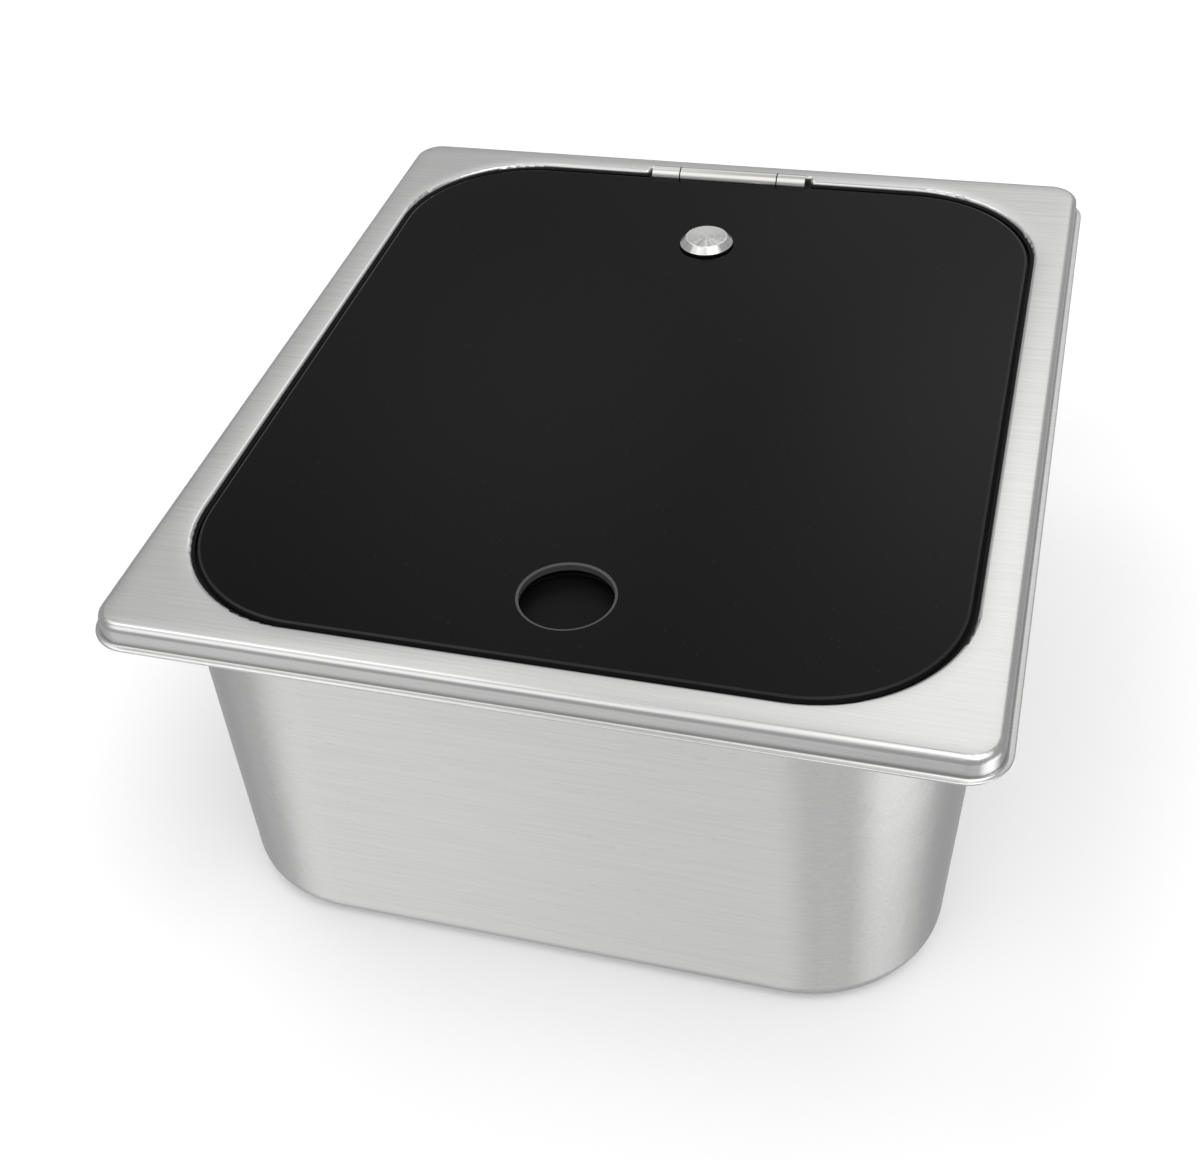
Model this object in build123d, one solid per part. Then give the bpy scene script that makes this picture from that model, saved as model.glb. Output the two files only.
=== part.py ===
from build123d import *
import os

# Sizes in millimetres. X is the width, +Y points to the hinge side, +Z is up.
# The origin is under the middle of the bowl, on the surface that the sink stands on.

# Overall size and sheet
WIDTH = 330.0
LENGTH = 381.0
HEIGHT = 165.0
SHEET = 0.8

# How far a cut runs past what it cuts, and how near two places count as one
PAST = 1.0
SAME_PLACE = 0.005

# Rim: a narrow lip, an upright band with a little draft, and a flat deck
LIP_WIDTH = 2.4
LIP_CORNER_R = 16.5
BAND_HEIGHT = 8.3
BAND_DRAFT = 0.85
BAND_CORNER_R = 12.7
SHOULDER_R = 2.8
LIP_FILLET_R = 0.7
LIP_EDGE_R = 0.35

# Lid recess in the deck, and the ledge that carries the lid seal
RECESS_WIDTH = 294.0
RECESS_LENGTH = 347.4
RECESS_CORNER_R = 58.0
RECESS_DEPTH = 7.8
RECESS_EDGE_R = 1.5
LEDGE_WIDTH = 9.0
LEDGE_HEM = 3.5

# Notch at the back of the recess that takes the hinge
NOTCH_WIDTH = 78.4
NOTCH_DEPTH = 4.8
NOTCH_CORNER_R = 1.8
NOTCH_MOUTH_R = 2.5

# Bowl
BOWL_TOP_WIDTH = 310.0
BOWL_TOP_LENGTH = 363.2
BOWL_TOP_CORNER_R = 72.0
BOWL_TAPER = 5.6
BOWL_FOOT_CORNER_R = 55.0
BOWL_FOOT_R = 10.0
WELD_FLANGE = 3.0
DRAIN_R = 45.0

# Glass lid
GLASS_GAP = 2.5
GLASS_BACK_GAP = 4.7
GLASS = 3.2
GLASS_DROP = 0.5
GLASS_EDGE_WIDTH = 1.0
GLASS_EDGE_DEPTH = 0.35
FINGER_HOLE_R = 17.4
FINGER_HOLE_X = 5.5
FINGER_HOLE_Y = -137.2
CLAMP_HOLE_R = 6.0
CLAMP_X = 2.5
CLAMP_Y = 110.8

# Seals
LID_SEAL_CLEARANCE = 0.3
LID_SEAL_WIDTH = 8.0
LID_SEAL_SKIRT = 1.0
LID_SEAL_SKIRT_DROP = 2.0
LID_SEAL_END_GAP = 0.5
LID_SEAL_EAR_GAP = 2.0
WORKTOP_SEAL_PROUD = 1.0
WORKTOP_SEAL_INSET = 4.2
WORKTOP_SEAL_WIDTH = 4.4

# Finger cup
CUP_R = 20.4
CUP_WALL = 1.5
CUP_FLANGE_R = 25.4
CUP_FLANGE = 1.2
CUP_DEPTH = 3.7
CUP_TAPE = 0.5
CUP_EDGE_R = 1.0

# Clamp through the glass
CAP_FOOT_R = 12.0
CAP_TOP_R = 9.5
CAP_HEIGHT = 2.8
CAP_WASHER = 1.0
CAP_WASHER_R = 12.3
CAP_EDGE_R = 0.4
STEM_R = 3.0
STEM_BORE_R = 3.3
PAD = 1.0
PAD_MARGIN = 1.0
CLAMP_WASHER_R = 7.0
CLAMP_WASHER = 1.2
CLAMP_NUT_WIDTH = 10.0
CLAMP_NUT = 5.0
STEM_PROUD = 1.0

# Hinge
BARREL_R = 4.15
AXIS_BEHIND_GLASS = 4.5
AXIS_BELOW_DECK = 1.0
PIN_R = 2.0
PIN_FIT = 0.05
BUSH_R = 2.8
BARREL_HALF = 37.2
KNUCKLE_HALF = 23.3
SPACER_GAP = 0.6
SPACER = 0.4
SPACER_STEP = 0.1
BUSH_LENGTH = 12.0
LEAF = 1.5
LEAF_HALF = 22.0
LEAF_FRONT_Y = 94.0
LEAF_CORNER_R = 8.0
LEAVES_GAP = 0.7
EDGE_STRIP = 0.6
EDGE_STRIP_FIT = 0.03
EDGE_STRIP_DROP = 2.2
BASE = 1.2
BASE_BACK_GAP = 0.4
EAR_FRONT_Y = 165.6
SCREW_X = 31.0
SCREW_Y = 169.0
SCREW_R = 1.5
SCREW_HEAD_R = 2.5
SCREW_HEAD = 1.5
SCREW_WASHER_R = 3.2
SCREW_WASHER = 0.5
SCREW_NUT_WIDTH = 5.5
SCREW_NUT = 2.4
SCREW_PROUD = 1.0
SCREW_SLOT = 0.8
HOLE_PLAY = 0.1

# Places worked out from the sizes above
DECK_Z = HEIGHT
LIP_Z = DECK_Z - BAND_HEIGHT
LEDGE_Z = DECK_Z - RECESS_DEPTH
GLASS_TOP_Z = DECK_Z - GLASS_DROP
GLASS_LOW_Z = GLASS_TOP_Z - GLASS
PAD_LOW_Z = GLASS_LOW_Z - PAD
LEAF_LOW_Z = PAD_LOW_Z - LEAF
RECESS_BACK_Y = RECESS_LENGTH / 2
NOTCH_BACK_Y = RECESS_BACK_Y + NOTCH_DEPTH
GLASS_WIDTH = RECESS_WIDTH - 2 * GLASS_GAP
GLASS_LENGTH = RECESS_LENGTH - GLASS_GAP - GLASS_BACK_GAP
GLASS_Y = (GLASS_GAP - GLASS_BACK_GAP) / 2
GLASS_BACK_Y = GLASS_Y + GLASS_LENGTH / 2
WEB_FRONT_Y = GLASS_BACK_Y + EDGE_STRIP
AXIS_Y = GLASS_BACK_Y + AXIS_BEHIND_GLASS
AXIS_Z = DECK_Z - AXIS_BELOW_DECK


def plate(width, length, corner_r, low_z, high_z, y=0):
    """A flat plate with round corners, between two heights."""
    face = Plane.XY.offset(low_z) * Pos(0, y) * RectangleRounded(width, length, corner_r)
    return extrude(face, high_z - low_z)


def tapered(foot, top, low_z, high_z):
    """A block between two rounded rectangles, each given as (width, length, corner radius)."""
    low = Plane.XY.offset(low_z) * RectangleRounded(*foot)
    high = Plane.XY.offset(high_z) * RectangleRounded(*top)
    return loft([low, high], ruled=True)


def block(x0, x1, y0, y1, z0, z1):
    """A plain block between its lowest and highest corners."""
    centre = Pos((x0 + x1) / 2, (y0 + y1) / 2, (z0 + z1) / 2)
    return centre * Box(x1 - x0, y1 - y0, z1 - z0)


def disc(radius, x, y, low_z, high_z):
    """An upright cylinder between two heights."""
    return Pos(x, y, (low_z + high_z) / 2) * Cylinder(radius, high_z - low_z)


def bar(radius, x0, x1):
    """A round bar on the hinge axis between two places along the width."""
    centre = Pos((x0 + x1) / 2, AXIS_Y, AXIS_Z)
    return centre * Rot(0, 90, 0) * Cylinder(radius, x1 - x0)


def hexagon(width, x, y, low_z, high_z):
    """A hexagonal prism, its width taken across the flats."""
    face = Plane.XY.offset(low_z) * Pos(x, y) * RegularPolygon(width / 2, 6, major_radius=False)
    return extrude(face, high_z - low_z)


def edges_at(part, z):
    """The edges of a part that lie flat at one height."""
    return [e for e in part.edges() if abs(e.bounding_box().min.Z - z) < SAME_PLACE
            and abs(e.bounding_box().max.Z - z) < SAME_PLACE]


def inset(outline, by):
    """A rounded rectangle drawn in by the same amount all round."""
    width, length, corner_r = outline
    return (width - 2 * by, length - 2 * by, corner_r - by)


def make_bowl():
    """Drawn pan with tapered walls, a round foot, a weld flange at the top and a drain hole."""
    top_z = DECK_Z - SHEET
    top = (BOWL_TOP_WIDTH, BOWL_TOP_LENGTH, BOWL_TOP_CORNER_R)
    foot = inset(top, BOWL_TAPER)
    foot = (foot[0], foot[1], BOWL_FOOT_CORNER_R)
    outside = tapered(foot, top, 0, top_z)
    outside = fillet(edges_at(outside, 0), BOWL_FOOT_R)
    inside = tapered(inset(foot, SHEET), inset(top, SHEET), SHEET, top_z)
    inside = fillet(edges_at(inside, SHEET), BOWL_FOOT_R - SHEET)
    flange = inset(top, -WELD_FLANGE)
    flange = plate(flange[0], flange[1], BOWL_TOP_CORNER_R / 2, top_z - SHEET, top_z)
    return outside + flange - inside - disc(DRAIN_R, 0, 0, -PAST, SHEET + PAST)


def recess_face(grow, z):
    """Outline of the lid recess, with the hinge notch and its rounded mouth at the back, grown by a wall."""
    face = RectangleRounded(RECESS_WIDTH + 2 * grow, RECESS_LENGTH + 2 * grow, RECESS_CORNER_R + grow)
    notch_length = 2 * NOTCH_DEPTH
    notch = RectangleRounded(NOTCH_WIDTH + 2 * grow, notch_length + 2 * grow, NOTCH_CORNER_R + grow)
    face += Pos(0, RECESS_BACK_Y) * notch
    back_y = RECESS_BACK_Y + grow
    mouth = [v for v in face.vertices() if abs(v.Y - back_y) < SAME_PLACE and abs(v.X) < NOTCH_WIDTH]
    return Plane.XY.offset(z) * fillet(mouth, NOTCH_MOUTH_R - grow)


def within(edge, width, length):
    """Whether an edge lies inside a rectangle of this width and length."""
    box = edge.bounding_box()
    reach_x = max(abs(box.min.X), abs(box.max.X))
    reach_y = max(abs(box.min.Y), abs(box.max.Y))
    return reach_x < width / 2 + SAME_PLACE and reach_y < length / 2 + SAME_PLACE


def make_top_frame():
    """Pressed rim: lip, band and deck outside, and inside a recess whose ledge carries the lid seal."""
    foot = (WIDTH - 2 * LIP_WIDTH, LENGTH - 2 * LIP_WIDTH, BAND_CORNER_R)
    top = inset(foot, BAND_DRAFT)
    shell = tapered(foot, top, LIP_Z, DECK_Z)
    shell = fillet(edges_at(shell, DECK_Z), SHOULDER_R)
    lip = plate(WIDTH, LENGTH, LIP_CORNER_R, LIP_Z - SHEET, LIP_Z)
    shell += fillet(edges_at(lip, LIP_Z) + edges_at(lip, LIP_Z - SHEET), LIP_EDGE_R)
    bend = [e for e in edges_at(shell, LIP_Z) if within(e, foot[0], foot[1])]
    shell = fillet(bend, LIP_FILLET_R)
    hollow = tapered(inset(foot, SHEET), inset(top, SHEET), LIP_Z - SHEET, DECK_Z - SHEET)
    shell -= fillet(edges_at(hollow, DECK_Z - SHEET), SHOULDER_R - SHEET)
    shell += extrude(recess_face(SHEET, LEDGE_Z - SHEET), RECESS_DEPTH)
    shell -= extrude(recess_face(0, LEDGE_Z), RECESS_DEPTH)
    rim = [e for e in edges_at(shell, DECK_Z) if within(e, RECESS_WIDTH, 2 * NOTCH_BACK_Y)]
    shell = fillet(rim, RECESS_EDGE_R)
    opening = inset((RECESS_WIDTH, RECESS_LENGTH, RECESS_CORNER_R), LEDGE_WIDTH)
    shell += plate(*inset(opening, -SHEET), LEDGE_Z - LEDGE_HEM, LEDGE_Z - SHEET)
    shell -= plate(*opening, LEDGE_Z - LEDGE_HEM - PAST, LEDGE_Z + PAST)
    for side in (-1, 1):
        shell -= disc(SCREW_R + HOLE_PLAY, side * SCREW_X, SCREW_Y, LEDGE_Z - SHEET - PAST, LEDGE_Z + PAST)
    return shell


def ring(outline, wall, low_z, high_z):
    """A flat ring that runs round inside a rounded rectangle."""
    return plate(*outline, low_z, high_z) - plate(*inset(outline, wall), low_z - PAST, high_z + PAST)


def make_worktop_seal():
    """Rubber strip in the channel under the rim, proud of the lip so that it beds on the worktop."""
    outline = inset((WIDTH, LENGTH, LIP_CORNER_R), WORKTOP_SEAL_INSET)
    low_z = LIP_Z - SHEET - WORKTOP_SEAL_PROUD
    return ring(outline, WORKTOP_SEAL_WIDTH, low_z, DECK_Z - 2 * SHEET)


def make_lid_seal():
    """Angle-section rubber strip on the ledge and up the recess wall, with its ends at the hinge."""
    recess = (RECESS_WIDTH, RECESS_LENGTH, RECESS_CORNER_R)
    top_z = GLASS_LOW_Z - LID_SEAL_CLEARANCE
    seal = ring(recess, LID_SEAL_WIDTH, LEDGE_Z, top_z)
    seal += ring(recess, LID_SEAL_SKIRT, LEDGE_Z, DECK_Z - LID_SEAL_SKIRT_DROP)
    half = NOTCH_WIDTH / 2 + LID_SEAL_END_GAP
    front_y = EAR_FRONT_Y - LID_SEAL_EAR_GAP
    return seal - block(-half, half, front_y, NOTCH_BACK_Y, LEDGE_Z - PAST, DECK_Z)


def make_glass_lid():
    """Tempered glass sheet with ground edges, a finger hole at the front and a clamp hole at the back."""
    corner_r = RECESS_CORNER_R - GLASS_GAP
    glass = plate(GLASS_WIDTH, GLASS_LENGTH, corner_r, GLASS_LOW_Z, GLASS_TOP_Z, GLASS_Y)
    glass -= disc(FINGER_HOLE_R, FINGER_HOLE_X, FINGER_HOLE_Y, GLASS_LOW_Z, GLASS_TOP_Z)
    glass -= disc(CLAMP_HOLE_R, CLAMP_X, CLAMP_Y, GLASS_LOW_Z, GLASS_TOP_Z)
    for z, place in ((GLASS_TOP_Z, -1), (GLASS_LOW_Z, 0)):
        face = glass.faces().sort_by(Axis.Z)[place]
        glass = chamfer(edges_at(glass, z), GLASS_EDGE_WIDTH, GLASS_EDGE_DEPTH, reference=face)
    return glass


def make_finger_cup():
    """Moulded cup below the finger hole, wider than the hole so that a fingertip hooks under the glass."""
    top_z = GLASS_LOW_Z - CUP_TAPE
    low_z = top_z - CUP_DEPTH - CUP_WALL
    cup = disc(CUP_R + CUP_WALL, FINGER_HOLE_X, FINGER_HOLE_Y, low_z, top_z)
    cup = fillet(edges_at(cup, low_z), CUP_WALL + CUP_EDGE_R)
    cup += disc(CUP_FLANGE_R, FINGER_HOLE_X, FINGER_HOLE_Y, top_z - CUP_FLANGE, top_z)
    hollow = disc(CUP_R, FINGER_HOLE_X, FINGER_HOLE_Y, low_z + CUP_WALL, top_z)
    return cup - fillet(edges_at(hollow, low_z + CUP_WALL), CUP_EDGE_R)


def make_finger_cup_tape():
    """Ring of mounting tape that bonds the cup to the underside of the glass."""
    tape = disc(CUP_FLANGE_R, FINGER_HOLE_X, FINGER_HOLE_Y, GLASS_LOW_Z - CUP_TAPE, GLASS_LOW_Z)
    return tape - disc(CUP_R, FINGER_HOLE_X, FINGER_HOLE_Y, GLASS_LOW_Z - PAST, GLASS_LOW_Z + PAST)


def make_clamp_cap():
    """Turned cap with a sloping side, and the threaded stem that goes down through the glass."""
    low_z = GLASS_TOP_Z + CAP_WASHER
    cone = Pos(CLAMP_X, CLAMP_Y, low_z + CAP_HEIGHT / 2) * Cone(CAP_FOOT_R, CAP_TOP_R, CAP_HEIGHT)
    cone = fillet(edges_at(cone, low_z + CAP_HEIGHT), CAP_EDGE_R)
    stem_low_z = LEAF_LOW_Z - CLAMP_WASHER - CLAMP_NUT - STEM_PROUD
    stem = disc(STEM_R, CLAMP_X, CLAMP_Y, stem_low_z, low_z)
    return cone + chamfer(edges_at(stem, stem_low_z), STEM_PROUD / 2)


def washer(outer_r, inner_r, x, y, low_z, high_z):
    """A flat ring with an upright axis."""
    return disc(outer_r, x, y, low_z, high_z) - disc(inner_r, x, y, low_z - PAST, high_z + PAST)


def make_clamp_cap_washer():
    """Rubber washer between the cap and the glass."""
    return washer(CAP_WASHER_R, STEM_BORE_R, CLAMP_X, CLAMP_Y, GLASS_TOP_Z, GLASS_TOP_Z + CAP_WASHER)


def make_clamp_bush():
    """Plastic sleeve that keeps the steel stem off the glass."""
    return washer(CLAMP_HOLE_R - HOLE_PLAY, STEM_BORE_R, CLAMP_X, CLAMP_Y, GLASS_LOW_Z, GLASS_TOP_Z)


def leaf_outline(half, front_y, back_y, corner_r, low_z, high_z):
    """A plate with round front corners that reaches from the hinge to the clamp."""
    leaf = block(-half, half, front_y, back_y, low_z, high_z)
    front = [e for e in leaf.edges().filter_by(Axis.Z) if e.center().Y < (front_y + back_y) / 2]
    return fillet(front, corner_r)


def make_glass_pad():
    """Rubber sheet between the glass and the moving leaf."""
    half = LEAF_HALF - PAD_MARGIN
    front_y = LEAF_FRONT_Y + PAD_MARGIN
    back_y = GLASS_BACK_Y - PAD_MARGIN
    pad = leaf_outline(half, front_y, back_y, LEAF_CORNER_R - PAD_MARGIN, PAD_LOW_Z, GLASS_LOW_Z)
    return pad - disc(STEM_BORE_R, CLAMP_X, CLAMP_Y, PAD_LOW_Z, GLASS_LOW_Z)


def make_glass_edge_strip():
    """Thin plastic strip that keeps the back edge of the glass off the upright of the leaf."""
    half = LEAF_HALF - PAD_MARGIN
    front_y = GLASS_BACK_Y + EDGE_STRIP_FIT
    return block(-half, half, front_y, WEB_FRONT_Y, GLASS_LOW_Z, GLASS_TOP_Z - EDGE_STRIP_DROP)


def make_clamp_washer():
    """Steel washer under the moving leaf."""
    return washer(CLAMP_WASHER_R, STEM_BORE_R, CLAMP_X, CLAMP_Y, LEAF_LOW_Z - CLAMP_WASHER, LEAF_LOW_Z)


def make_clamp_nut():
    """Nut that draws the cap, the glass and the moving leaf together."""
    high_z = LEAF_LOW_Z - CLAMP_WASHER
    nut = hexagon(CLAMP_NUT_WIDTH, CLAMP_X, CLAMP_Y, high_z - CLAMP_NUT, high_z)
    return nut - disc(STEM_R, CLAMP_X, CLAMP_Y, high_z - CLAMP_NUT, high_z)


def make_hinge_moving_leaf():
    """Middle knuckle with an upright behind the glass and a plate that runs under it to the clamp."""
    plate_part = leaf_outline(LEAF_HALF, LEAF_FRONT_Y, WEB_FRONT_Y + LEAF, LEAF_CORNER_R,
                              LEAF_LOW_Z, PAD_LOW_Z)
    plate_part -= disc(STEM_BORE_R, CLAMP_X, CLAMP_Y, LEAF_LOW_Z - PAST, PAD_LOW_Z + PAST)
    web = block(-LEAF_HALF, LEAF_HALF, WEB_FRONT_Y, WEB_FRONT_Y + LEAF, LEAF_LOW_Z, AXIS_Z)
    leaf = plate_part + web + bar(BARREL_R, -KNUCKLE_HALF, KNUCKLE_HALF)
    return leaf - bar(BUSH_R, -KNUCKLE_HALF - PAST, KNUCKLE_HALF + PAST)


def make_hinge_bushes():
    """Two plastic sleeves in the ends of the middle knuckle, in which the pin turns."""
    bushes = []
    for side in (-1, 1):
        x0, x1 = sorted((side * (KNUCKLE_HALF - BUSH_LENGTH), side * KNUCKLE_HALF))
        bushes.append(bar(BUSH_R, x0, x1) - bar(PIN_R + PIN_FIT, x0 - PAST, x1 + PAST))
    return Compound(children=bushes)


def make_hinge_pin():
    """Plain pin through all three knuckles, held in the two end ones."""
    return bar(PIN_R, -BARREL_HALF, BARREL_HALF)


def make_hinge_spacers():
    """Two thin washers between the knuckles."""
    spacers = []
    for side in (-1, 1):
        middle = side * (KNUCKLE_HALF + SPACER_GAP / 2)
        x0 = middle - SPACER / 2
        x1 = middle + SPACER / 2
        spacer = bar(BARREL_R - SPACER_STEP, x0, x1)
        spacers.append(spacer - bar(PIN_R + PIN_FIT, x0 - PAST, x1 + PAST))
    return Compound(children=spacers)


def make_hinge_fixed_leaf():
    """Two end knuckles on uprights, joined by a base that is screwed down on the ledge."""
    base_top = LEDGE_Z + BASE
    back_y = NOTCH_BACK_Y - BASE_BACK_GAP
    strip_front_y = WEB_FRONT_Y + LEAF + LEAVES_GAP
    leaf = block(-BARREL_HALF, BARREL_HALF, strip_front_y, back_y, LEDGE_Z, base_top)
    knuckle_start = KNUCKLE_HALF + SPACER_GAP
    for side in (-1, 1):
        x0, x1 = sorted((side * knuckle_start, side * BARREL_HALF))
        leaf += bar(BARREL_R, x0, x1)
        leaf += block(x0, x1, AXIS_Y - LEAF / 2, AXIS_Y + LEAF / 2, LEDGE_Z, AXIS_Z)
        leaf += block(x0, x1, EAR_FRONT_Y, back_y, LEDGE_Z, base_top)
        leaf -= disc(SCREW_R + HOLE_PLAY, side * SCREW_X, SCREW_Y, LEDGE_Z - PAST, base_top + PAST)
    return leaf - bar(PIN_R, -BARREL_HALF - PAST, BARREL_HALF + PAST)


def make_hinge_screws():
    """Two pan-head screws through the ears of the fixed leaf and the ledge."""
    head_z = LEDGE_Z + BASE
    low_z = LEDGE_Z - SHEET - SCREW_WASHER - SCREW_NUT - SCREW_PROUD
    screws = []
    for side in (-1, 1):
        head = disc(SCREW_HEAD_R, side * SCREW_X, SCREW_Y, head_z, head_z + SCREW_HEAD)
        head = fillet(edges_at(head, head_z + SCREW_HEAD), SCREW_HEAD / 2)
        slot = block(-SCREW_HEAD_R, SCREW_HEAD_R, -SCREW_SLOT / 2, SCREW_SLOT / 2, 0, SCREW_HEAD)
        slot = Pos(side * SCREW_X, SCREW_Y, head_z + SCREW_HEAD / 2) * slot
        screws.append(head + disc(SCREW_R, side * SCREW_X, SCREW_Y, low_z, head_z) - slot)
    return Compound(children=screws)


def make_hinge_screw_washers():
    """Two washers under the ledge."""
    high_z = LEDGE_Z - SHEET
    low_z = high_z - SCREW_WASHER
    inner_r = SCREW_R + HOLE_PLAY
    rings = [washer(SCREW_WASHER_R, inner_r, side * SCREW_X, SCREW_Y, low_z, high_z) for side in (-1, 1)]
    return Compound(children=rings)


def make_hinge_nuts():
    """Two nuts that hold the hinge screws."""
    high_z = LEDGE_Z - SHEET - SCREW_WASHER
    low_z = high_z - SCREW_NUT
    nuts = []
    for side in (-1, 1):
        nut = hexagon(SCREW_NUT_WIDTH, side * SCREW_X, SCREW_Y, low_z, high_z)
        nuts.append(nut - disc(SCREW_R, side * SCREW_X, SCREW_Y, low_z, high_z))
    return Compound(children=nuts)


PIECES = {
    "bowl": make_bowl,
    "top_frame": make_top_frame,
    "worktop_seal": make_worktop_seal,
    "lid_seal": make_lid_seal,
    "glass_lid": make_glass_lid,
    "finger_cup": make_finger_cup,
    "finger_cup_tape": make_finger_cup_tape,
    "clamp_cap": make_clamp_cap,
    "clamp_cap_washer": make_clamp_cap_washer,
    "clamp_bush": make_clamp_bush,
    "glass_pad": make_glass_pad,
    "glass_edge_strip": make_glass_edge_strip,
    "clamp_washer": make_clamp_washer,
    "clamp_nut": make_clamp_nut,
    "hinge_moving_leaf": make_hinge_moving_leaf,
    "hinge_bushes": make_hinge_bushes,
    "hinge_pin": make_hinge_pin,
    "hinge_spacers": make_hinge_spacers,
    "hinge_fixed_leaf": make_hinge_fixed_leaf,
    "hinge_screws": make_hinge_screws,
    "hinge_screw_washers": make_hinge_screw_washers,
    "hinge_nuts": make_hinge_nuts,
}

os.makedirs("parts", exist_ok=True)
for name, make in PIECES.items():
    export_step(make(), f"parts/{name}.step")
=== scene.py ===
import bpy
import math
import numpy as np
from mathutils import Matrix, Vector


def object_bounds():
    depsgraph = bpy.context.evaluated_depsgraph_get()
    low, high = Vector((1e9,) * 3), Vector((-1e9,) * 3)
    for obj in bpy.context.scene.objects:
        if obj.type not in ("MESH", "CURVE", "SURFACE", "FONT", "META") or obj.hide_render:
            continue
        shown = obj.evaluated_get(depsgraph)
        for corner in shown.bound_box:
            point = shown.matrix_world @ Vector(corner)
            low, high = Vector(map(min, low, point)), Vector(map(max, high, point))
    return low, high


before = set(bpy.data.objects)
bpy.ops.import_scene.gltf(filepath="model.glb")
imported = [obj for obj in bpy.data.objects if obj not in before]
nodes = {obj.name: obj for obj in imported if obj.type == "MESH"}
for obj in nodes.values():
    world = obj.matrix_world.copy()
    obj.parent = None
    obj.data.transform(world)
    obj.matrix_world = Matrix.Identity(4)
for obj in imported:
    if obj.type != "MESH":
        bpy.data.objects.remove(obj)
cad_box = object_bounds()


# ---------------------------------------------------------------------------
# Bowl: a pan drawn from 0.8 mm stainless sheet that was brushed along its width
# beforehand, so the grain runs along X and turns down the two side walls.
# Its top edge is a narrow flange, welded to the underside of the top frame.
# ---------------------------------------------------------------------------

class Reading:
    """A number that varies over a surface. An expression on readings adds its Math nodes."""

    def __init__(self, owner, socket):
        self.owner = owner
        self.socket = socket

    def maths(self, operation, *terms):
        node = self.owner.add("ShaderNodeMath", {"operation": operation}, dict(enumerate(terms)))
        return Reading(self.owner, node.outputs[0])

    def __add__(self, other):
        return self.maths("ADD", self, other)

    def __sub__(self, other):
        return self.maths("SUBTRACT", self, other)

    def __rsub__(self, other):
        return self.maths("SUBTRACT", other, self)

    def __mul__(self, other):
        return self.maths("MULTIPLY", self, other)

    def __truediv__(self, other):
        return self.maths("DIVIDE", self, other)

    def __pow__(self, other):
        return self.maths("POWER", self, other)

    __radd__ = __add__
    __rmul__ = __mul__

    def size(self):
        return self.maths("ABSOLUTE", self)

    def sign(self):
        return self.maths("SIGN", self)

    def at_least(self, floor):
        return self.maths("MAXIMUM", self, floor)

    def step(self, low, high):
        """0 below low, 1 above high, and a smooth rise between them."""
        settings = {"interpolation_type": "SMOOTHSTEP"}
        values = {"Value": self, "From Min": low, "From Max": high}
        node = self.owner.add("ShaderNodeMapRange", settings, values)
        return Reading(self.owner, node.outputs[0])


class Nodes:
    """The nodes of one material or of the world."""

    def __init__(self, owner):
        owner.use_nodes = True
        self.tree = owner.node_tree
        self.tree.nodes.clear()

    def add(self, kind, settings, values):
        """A node of one type, with its settings made first, and then its sockets' values or links."""
        node = self.tree.nodes.new(kind)
        for name, setting in settings.items():
            setattr(node, name, setting)
        for name, value in values.items():
            value = getattr(value, "socket", value)
            if isinstance(value, bpy.types.NodeSocket):
                self.tree.links.new(value, node.inputs[name])
            else:
                node.inputs[name].default_value = value
        return node

    def place(self, scale, centre=(0, 0, 0)):
        """The place on the piece, from a centre and scaled, as a vector for a pattern."""
        where = self.add("ShaderNodeTexCoord", {}, {}).outputs["Object"]
        values = {"Vector": where, "Location": centre}
        moved = self.add("ShaderNodeMapping", {"vector_type": "TEXTURE"}, values).outputs[0]
        return self.vector("MULTIPLY", moved, scale)

    def vector(self, operation, *terms):
        """Vector maths. SCALE takes its number second."""
        names = (0, "Scale") if operation == "SCALE" else (0, 1)
        node = self.add("ShaderNodeVectorMath", {"operation": operation}, dict(zip(names, terms)))
        return node.outputs[0]

    def length(self, vector):
        node = self.add("ShaderNodeVectorMath", {"operation": "LENGTH"}, {0: vector})
        return Reading(self, node.outputs["Value"])

    def parts(self, vector):
        """The X, Y and Z of a vector."""
        split = self.add("ShaderNodeSeparateXYZ", {}, {0: vector})
        return [Reading(self, socket) for socket in split.outputs]

    def joined(self, x, y, z):
        """A vector from its X, Y and Z."""
        return self.add("ShaderNodeCombineXYZ", {}, {0: x, 1: y, 2: z}).outputs[0]

    def noise(self, where, detail, roughness=0.5):
        values = {"Vector": where, "Scale": 1.0, "Detail": detail, "Roughness": roughness}
        return Reading(self, self.add("ShaderNodeTexNoise", {}, values).outputs[0])

    def mix_colour(self, share, first, second):
        """A mix of two colours, each a link or three numbers."""
        first, second = ((*c, 1) if isinstance(c, tuple) else c for c in (first, second))
        values = {0: share, 6: first, 7: second}
        return self.add("ShaderNodeMix", {"data_type": "RGBA"}, values).outputs[2]

    def facing(self):
        """The surface's normal as the piece itself has it, however the piece is turned."""
        return self.add("ShaderNodeTexCoord", {}, {}).outputs["Normal"]

    def tipped(self, by):
        """The surface's normal, tipped by a vector that turns with the piece."""
        settings = {"vector_type": "VECTOR", "convert_from": "OBJECT", "convert_to": "WORLD"}
        turned = self.add("ShaderNodeVectorTransform", settings, {0: by}).outputs[0]
        normal = self.add("ShaderNodeNewGeometry", {}, {}).outputs["Normal"]
        return self.vector("NORMALIZE", self.vector("ADD", normal, turned))

    def bumped(self, height, strength, depth):
        """The surface's normal, as a relief of this height in metres would turn it."""
        values = {"Strength": strength, "Distance": depth, "Height": height}
        return self.add("ShaderNodeBump", {}, values).outputs[0]

    def finish(self, **values):
        """The Principled shader and the output."""
        values = {name.replace("_", " "): value for name, value in values.items()}
        shader = self.add("ShaderNodeBsdfPrincipled", {}, values)
        self.add("ShaderNodeOutputMaterial", {}, {"Surface": shader.outputs[0]})


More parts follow.
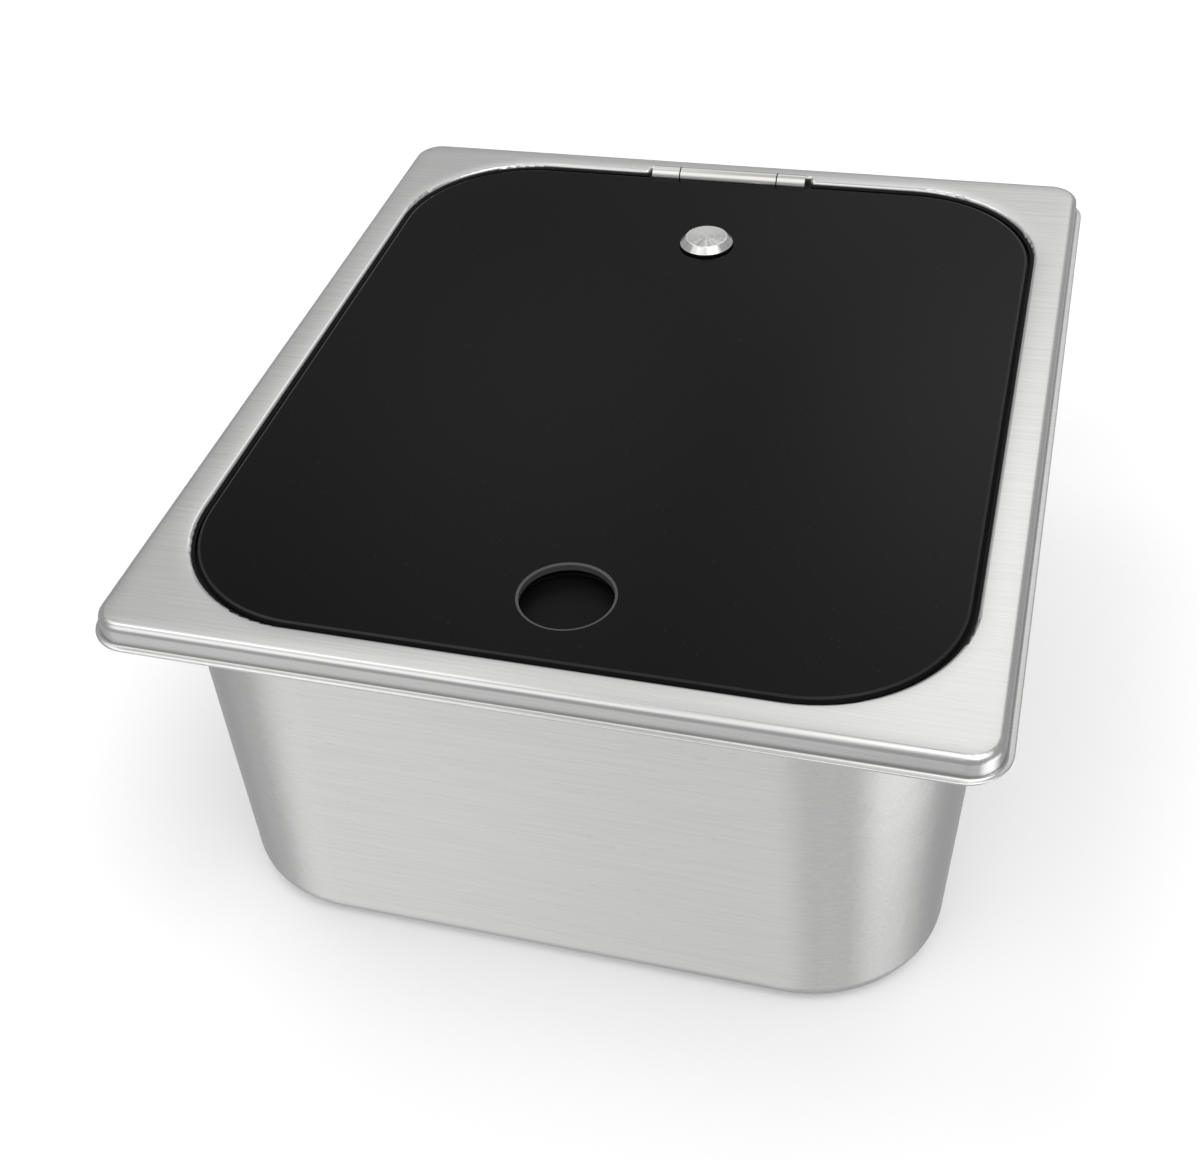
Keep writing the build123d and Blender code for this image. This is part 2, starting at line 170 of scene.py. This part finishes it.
def toned(colour, share):
    """A colour made darker by a share below 1, or paler by one above 1."""
    return tuple(share * c for c in colour)


# The shader's grain circles a piece's upright axis. A quarter turn lets highlights stretch across it.
across_grain = 0.25


def brushed_steel(name, tint, polish, stretch, streak, roll_off=None):
    """Sheet brushed along X. The grooves are far finer than a pixel, so `stretch` draws highlights
    out across them. Longer and wider strokes tip the normal across the grain, by less than
    `streak` radians, and change the colour and `polish`, the roughness, a little. On walls that
    face along X the strokes run down the wall. roll_off adds a slow tilt to the smooth surface."""
    material = bpy.data.materials.new(name)
    n = Nodes(material)
    facing = n.facing()
    to_the_side = n.parts(facing)[0]
    side = (to_the_side * to_the_side).step(0.6, 0.98)

    def strokes(length_mm, pitch_mm, centre, detail):
        long = 1000 / length_mm
        short = 1000 / pitch_mm
        along = n.place((long, short, short), centre)
        down = n.place((short, short, long), centre)
        return n.noise(along, detail) * (1.0 - side) + n.noise(down, detail) * side

    lines = strokes(length_mm=45, pitch_mm=1.0, centre=(0.31, 0.22, 0.13), detail=3)
    bands = strokes(length_mm=60, pitch_mm=3.0, centre=(0.11, 0.42, 0.33), detail=1)
    scratch = strokes(length_mm=9, pitch_mm=0.5, centre=(0.7, 0.4, 0.9), detail=0).step(0.77, 0.84)
    clouds = n.noise(n.place((11, 17, 17)), detail=2)

    mottle = (lines * 0.75 + clouds * 0.25).step(0.32, 0.64)
    colour = n.mix_colour(mottle, toned(tint, 0.93), tint)
    colour = n.mix_colour(scratch * 0.15, colour, toned(tint, 0.7))
    rough = polish + (lines - 0.5) * 0.04 + (clouds - 0.5) * 0.06 + scratch * 0.04

    along_grain = (1, 0, 0.02)
    across = n.vector("NORMALIZE", n.vector("CROSS_PRODUCT", along_grain, facing))
    tilt = n.vector("SCALE", across, (lines - 0.5) * streak + (bands - 0.5) * (streak / 2))
    if roll_off:
        tilt = n.vector("ADD", tilt, roll_off(n))
    n.finish(Base_Color=colour, Metallic=1.0, Roughness=rough, Normal=n.tipped(tilt),
             Anisotropic=stretch, Anisotropic_Rotation=across_grain)
    return material


def dress(material, *names):
    """Gives a finish to CAD nodes."""
    for name in names:
        nodes[name].data.materials.clear()
        nodes[name].data.materials.append(material)


steel_tint = (0.58, 0.579, 0.575)
dress(brushed_steel("bowl_steel", steel_tint, polish=0.25, stretch=0.85, streak=0.015), "bowl")


# ---------------------------------------------------------------------------
# Top frame: pressed from the same sheet, with a lip, an upright band, a flat deck,
# the recess for the lid and its ledge. The press leaves the deck crowned: it rolls
# off towards the band, and dips towards the recess.
# ---------------------------------------------------------------------------

def deck_roll_off(n):
    """Tilt of the deck, as a vector. With d the distance in from the band and e the distance out
    from the recess, both along a rounded rectangle's normal, the tilt is (1 - d/10 mm)^2 outwards
    less (1 - e/9 mm)^2 outwards, times the greatest tilt. Each square ends at 0."""
    band_in_mm = 3.3
    band_corner_mm = 12.7
    band_reach_mm = 10
    recess_half_x_mm = 147.0
    recess_half_y_mm = 173.7
    recess_corner_mm = 58.0
    recess_reach_mm = 9
    greatest = 0.13
    half_x_mm = 1000 * cad_box[1][0] - band_in_mm
    half_y_mm = 1000 * cad_box[1][1] - band_in_mm
    x_mm, y_mm, _ = n.parts(n.place((1000, 1000, 1000)))
    flat = n.parts(n.facing())[2].step(0.9, 0.99)

    def from_edge(half_x, half_y, corner_r):
        over_x = (x_mm.size() - (half_x - corner_r)).at_least(0)
        over_y = (y_mm.size() - (half_y - corner_r)).at_least(0)
        way = n.joined(over_x * x_mm.sign(), over_y * y_mm.sign(), 0.0)
        return n.length(way) - corner_r, n.vector("NORMALIZE", way)

    band, from_band = from_edge(half_x_mm, half_y_mm, band_corner_mm)
    recess, from_recess = from_edge(recess_half_x_mm, recess_half_y_mm, recess_corner_mm)
    roll = (band / band_reach_mm + 1).at_least(0) ** 2 * greatest * flat
    dip = (1 - recess / recess_reach_mm).at_least(0) ** 2 * -greatest * flat
    return n.vector("ADD", n.vector("SCALE", from_band, roll), n.vector("SCALE", from_recess, dip))


dress(brushed_steel("frame_steel", steel_tint, polish=0.26, stretch=0.6, streak=0.016,
                    roll_off=deck_roll_off), "top_frame")


# ---------------------------------------------------------------------------
# Seals: extruded black rubber. One lies in the channel under the rim and sits on
# the worktop, the other lies on the ledge under the glass. Rubber is dull, with
# fine pits and cloudy patches.
# ---------------------------------------------------------------------------

def moulded(name, colour, rough, gloss, pits_per_m, depth):
    """Black rubber or plastic with a fine texture from its mould, paler and duller in patches."""
    material = bpy.data.materials.new(name)
    n = Nodes(material)
    pits = n.noise(n.place((pits_per_m, pits_per_m, pits_per_m)), detail=2)
    clouds = n.noise(n.place((60, 60, 60)), detail=2)
    shade = n.mix_colour(clouds, colour, toned(colour, 1.5))
    n.finish(Base_Color=shade, Roughness=rough + (clouds - 0.5) * 0.12, Specular_IOR_Level=gloss,
             Normal=n.bumped(pits, 0.4, depth))
    return material


rubber = moulded("black_rubber_finish", (0.005, 0.005, 0.005), 0.6, 0.08, 2200, 0.00008)
dress(rubber, "worktop_seal", "lid_seal")


# ---------------------------------------------------------------------------
# Glass lid: 3.2 mm tempered glass, tinted nearly black. Its outer edge and the edge
# of the finger hole are ground, which leaves them grey and a little frosted.
# ---------------------------------------------------------------------------

finger_hole = (0.0055, -0.1372, 0)


def dark_glass():
    """Polished black glass with very faint waves, smears and dust, and ground edges, which grinding
    leaves grey.
    The hole's ground edge is painted paler still: painted light, standing in for the light that falls
    on the hole's wall."""
    hole_edge_mm = 19.0
    material = bpy.data.materials.new("dark_glass_finish")
    n = Nodes(material)
    up = n.parts(n.facing())[2]
    ground = 1.0 - (up * up).step(0.9, 0.98)
    wave = n.noise(n.place((9, 9, 9)), detail=1)
    dust = n.noise(n.place((900, 900, 900)), detail=1).step(0.72, 0.8)
    smear = n.noise(n.place((14, 30, 14)), detail=3).step(0.45, 0.75)
    grit = n.noise(n.place((4000, 4000, 4000)), detail=1)
    colour = n.mix_colour(dust * 0.06, (0.0012, 0.0012, 0.0013), (0.3, 0.3, 0.3))
    # Ground edges are grey. Within hole_edge_mm of the finger hole they are painted paler still:
    # painted light for the light falling on the hole's wall.
    from_hole_mm = n.length(n.place((1000, 1000, 0), finger_hole))
    hole = 1.0 - from_hole_mm.step(hole_edge_mm, hole_edge_mm + 0.5)
    edge = n.mix_colour(hole, (0.022, 0.022, 0.022), (0.075, 0.075, 0.075))
    n.finish(Base_Color=n.mix_colour(ground, colour, edge), IOR=1.52, Specular_IOR_Level=0.06,
             Roughness=0.012 + smear * 0.02 + ground * 0.15,
             Normal=n.bumped(wave + grit * ground * 0.2, 0.15, 0.0002))
    return material


dress(dark_glass(), "glass_lid")


# ---------------------------------------------------------------------------
# Finger cup: a shallow moulded cup of black plastic that closes the finger hole
# from below. A ring of black tape holds its flange to the glass.
# ---------------------------------------------------------------------------

plastic = moulded("black_plastic_finish", (0.0035, 0.0035, 0.0037), 0.5, 0.07, 1400, 0.00002)
dress(plastic, "finger_cup")
dress(rubber, "finger_cup_tape")


# ---------------------------------------------------------------------------
# Clamp: a turned steel cap with a threaded stem holds the glass to the hinge leaf,
# with a washer and a nut below. Rubber above and below and a plastic bush round the
# stem keep steel off the glass, and a plastic strip guards its back edge.
# ---------------------------------------------------------------------------

def turned_steel(name, axis, tint, polish, rings):
    """Steel faced on a lathe about an upright axis. Fine grooves, and slower changes round the
    axis, tip the normal towards or away from it, so that highlights spread into fans. The colour
    follows both: the grooves' own tone, and painted sheen, paler and darker in fan-shaped sectors
    round the axis."""
    grooves_per_m = 2600
    fan_width = 2.2
    material = bpy.data.materials.new(name)
    n = Nodes(material)
    out = n.place((1, 1, 0), axis)
    outward = n.vector("NORMALIZE", out)
    height = n.parts(n.place((1, 1, 1), axis))[2]
    groove = n.noise(n.joined(n.length(out) * grooves_per_m, height * grooves_per_m, 0.0), detail=2)
    fans = n.noise(n.vector("SCALE", outward, fan_width), detail=5, roughness=0.75)
    tilt = n.vector("SCALE", outward, (groove - 0.5) * rings + (fans - 0.5) * (rings * 3))
    # The colour is the grooves' own tone plus painted sheen: fan-shaped sectors round the axis are
    # painted paler or darker, like the fans of a highlight.
    shade = (groove * 0.4 + fans * 0.6).step(0.34, 0.66)
    n.finish(Base_Color=n.mix_colour(shade, toned(tint, 0.8), toned(tint, 1.25)), Metallic=1.0,
             Roughness=polish + (groove - 0.5) * 0.1, Normal=n.tipped(tilt),
             Anisotropic=0.85, Anisotropic_Rotation=across_grain)
    return material


clamp_axis = (0.0025, 0.1108, 0.165)
cap_steel = turned_steel("cap_steel", clamp_axis, (0.62, 0.615, 0.605), polish=0.2, rings=0.12)
dress(cap_steel, "clamp_cap", "clamp_washer", "clamp_nut")
dress(rubber, "clamp_cap_washer", "glass_pad")
dress(plastic, "clamp_bush", "glass_edge_strip")


# ---------------------------------------------------------------------------
# Hinge: two steel leaves with rolled knuckles, brushed along the barrel. A drawn
# steel pin runs through it in two plastic bushes, with a plastic spacer at each end
# of the middle knuckle. Two small screws hold the fixed leaf to the ledge.
# ---------------------------------------------------------------------------

hinge_tint = (0.6, 0.595, 0.585)
hinge_steel = brushed_steel("hinge_steel_finish", hinge_tint, polish=0.2, stretch=0.4, streak=0.02)
dress(hinge_steel, "hinge_fixed_leaf", "hinge_moving_leaf")
pin_steel = brushed_steel("pin_steel", hinge_tint, polish=0.2, stretch=0.2, streak=0.02)
dress(pin_steel, "hinge_pin", "hinge_screws", "hinge_screw_washers", "hinge_nuts")
dress(plastic, "hinge_bushes", "hinge_spacers")


# ---------------------------------------------------------------------------
# Studio floor: a round white table, which isn't part of the object. It is just
# under the bowl, and takes the object's shadow. Metal and glass see through it, to
# the studio's low panels.
# ---------------------------------------------------------------------------

table_r = 0.72
table_centre_y = 0.30
table_z = -0.0003
table_sides = 96
turn = np.arange(table_sides) * (2 * math.pi / table_sides)
rim = np.stack([
    table_r * np.cos(turn),
    table_r * np.sin(turn) + table_centre_y,
    np.full(table_sides, table_z),
], axis=1)
floor_mesh = bpy.data.meshes.new("floor")
floor_mesh.from_pydata(rim.tolist(), [], [tuple(range(table_sides))])
floor = bpy.data.objects.new("floor", floor_mesh)
bpy.context.scene.collection.objects.link(floor)


def ray_is(n, kind):
    """1 for one kind of ray, such as Camera, and 0 for the others."""
    return Reading(n, n.add("ShaderNodeLightPath", {}, {}).outputs["Is " + kind + " Ray"])


floor_paint = bpy.data.materials.new("floor_paint")
n = Nodes(floor_paint)
glow_share = 0.06
paint = n.add("ShaderNodeBsdfDiffuse", {}, {"Color": (0.95, 0.95, 0.95, 1)}).outputs[0]
glow = n.add("ShaderNodeEmission", {}, {"Color": (1, 1, 1, 1), "Strength": 1.0}).outputs[0]
clear = n.add("ShaderNodeBsdfTransparent", {}, {}).outputs[0]
seen = n.add("ShaderNodeMixShader", {}, {0: ray_is(n, "Camera") * glow_share, 1: paint, 2: glow})
shown = n.add("ShaderNodeMixShader", {}, {0: ray_is(n, "Glossy"), 1: seen.outputs[0], 2: clear})
n.add("ShaderNodeOutputMaterial", {}, {"Surface": shown.outputs[0]})
floor_mesh.materials.append(floor_paint)


# ---------------------------------------------------------------------------
# Studio light: an even grey room with soft lamps and panels in it. A long panel
# behind the sink shows in the deck, a lamp stands on each side above it, and low
# panels light the bowl's walls. The camera sees plain white instead.
# ---------------------------------------------------------------------------

world = bpy.data.worlds.new("studio")
bpy.context.scene.world = world
n = Nodes(world)
x, y, z = n.parts(n.add("ShaderNodeTexCoord", {}, {}).outputs["Generated"])
lamp_reach = 19
panel_reach = 33
full_strength = 3
room_fill = 0.5


def soft_light(azimuth, height, reach):
    """1 within full_strength degrees of a direction, given in degrees from +Y towards +X and above
    the horizon, falling along a smooth step to 0 at `reach` degrees from it."""
    a = math.radians(azimuth)
    h = math.radians(height)
    nearness = x * (math.sin(a) * math.cos(h)) + y * (math.cos(a) * math.cos(h)) + z * math.sin(h)
    return nearness.step(math.cos(math.radians(reach)), math.cos(math.radians(full_strength)))


back_left = soft_light(-30, 44, lamp_reach) * 0.35
back_middle = soft_light(-10, 44, lamp_reach) * 0.5
back_right = soft_light(10, 44, lamp_reach) * 0.8
back_foot = soft_light(8, 28, lamp_reach) * 0.3
left_lamp = soft_light(-62, 60, lamp_reach) * 2.05
right_lamp = soft_light(120, 68, panel_reach) * 2.65
front_lamp = soft_light(-144, 46, panel_reach) * 1.2
right_panel = soft_light(105, -24, panel_reach) * 1.6
front_left_panel = soft_light(-150, -48, panel_reach) * 0.55 + soft_light(-120, -48, panel_reach) * 0.2
front_right_panel = soft_light(150, -48, panel_reach) * 0.35
lamps = back_left + back_middle + back_right + back_foot + left_lamp + right_lamp + front_lamp
panels = right_panel + front_left_panel + front_right_panel
to_camera = ray_is(n, "Camera")
strength = (lamps + panels + room_fill) * (1.0 - to_camera) + to_camera
air = n.add("ShaderNodeBackground", {}, {"Color": (1, 1, 1, 1), "Strength": strength})
n.add("ShaderNodeOutputWorld", {}, {"Surface": air.outputs[0]})


# ---------------------------------------------------------------------------
# Camera: it stands where the photograph was taken from, in front, a little to the
# right and above, turned slightly. It aims at a point near the front of the deck.
# ---------------------------------------------------------------------------

focal_px = 1646.35
frame_width_px = 1200
frame_height_px = 1160
centre_px = (531.94, 679.38)
yaw, pitch, roll = (math.radians(a) for a in (-20.8804, 43.9928, -6.1723))
target = Vector((0.0058088, -0.1813184, 0.165))
distance = 0.5574353
forward = Vector((math.sin(yaw) * math.cos(pitch), math.cos(yaw) * math.cos(pitch), -math.sin(pitch)))
level = Vector((math.cos(yaw), -math.sin(yaw), 0))
upright = level.cross(forward)
right = math.cos(roll) * level + math.sin(roll) * upright
up = math.cos(roll) * upright - math.sin(roll) * level
lens = bpy.data.cameras.new("camera")
lens.sensor_width = 36
lens.lens = focal_px / frame_width_px * lens.sensor_width
lens.shift_x = (frame_width_px / 2 - centre_px[0]) / frame_width_px
lens.shift_y = (centre_px[1] - frame_height_px / 2) / frame_width_px
lens.clip_start = 0.01
camera = bpy.data.objects.new("camera", lens)
bpy.context.scene.collection.objects.link(camera)
stand = Matrix((right, up, -forward)).transposed().to_4x4()
stand.translation = target - forward * distance
camera.matrix_world = stand
bpy.context.scene.camera = camera
bpy.context.scene.view_settings.view_transform = "Standard"
